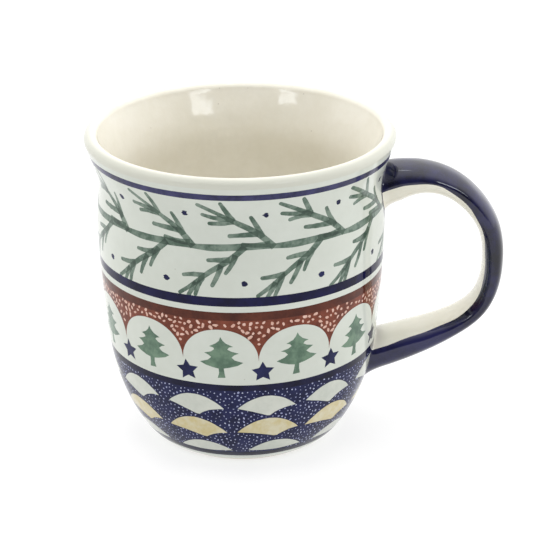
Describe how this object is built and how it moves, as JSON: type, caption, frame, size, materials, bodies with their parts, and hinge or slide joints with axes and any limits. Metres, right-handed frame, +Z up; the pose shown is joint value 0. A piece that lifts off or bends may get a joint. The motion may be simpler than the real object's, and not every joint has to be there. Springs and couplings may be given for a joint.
{
  "type": "stoneware mug",
  "caption": "Barrel-shaped glazed stoneware mug with a full-round lip, painted outer wall, bare foot ring and one strap handle luted on with slip.",
  "frame": {"origin": "centre of the foot ring, on the surface the mug stands on", "axes": "+Z up along the cup's axis, +X from the axis through the handle, +Y to the left of someone looking along +X"},
  "size_m": [0.1221, 0.09, 0.0944],
  "materials": {
    "bare_stoneware": "bare fired stoneware, matte and faintly gritty",
    "handle_clay": "fired stoneware under glaze",
    "slip": "fired slip under glaze",
    "ivory_glaze": "glossy clear glaze over ivory stoneware",
    "painted_glaze": "glossy clear glaze over stamped and brushed green, brown and cobalt decoration",
    "cobalt_glaze": "glossy clear glaze over brushed cobalt, ivory on the side next to the fingers"
  },
  "bodies": {
    "root": {"cup_body": "bare_stoneware", "handle": "handle_clay", "upper_slip_joint": "slip", "lower_slip_joint": "slip", "liner_glaze": "ivory_glaze", "outer_glaze": "painted_glaze", "handle_glaze": "cobalt_glaze", "base_glaze": "ivory_glaze"}
  },
  "joints": []
}
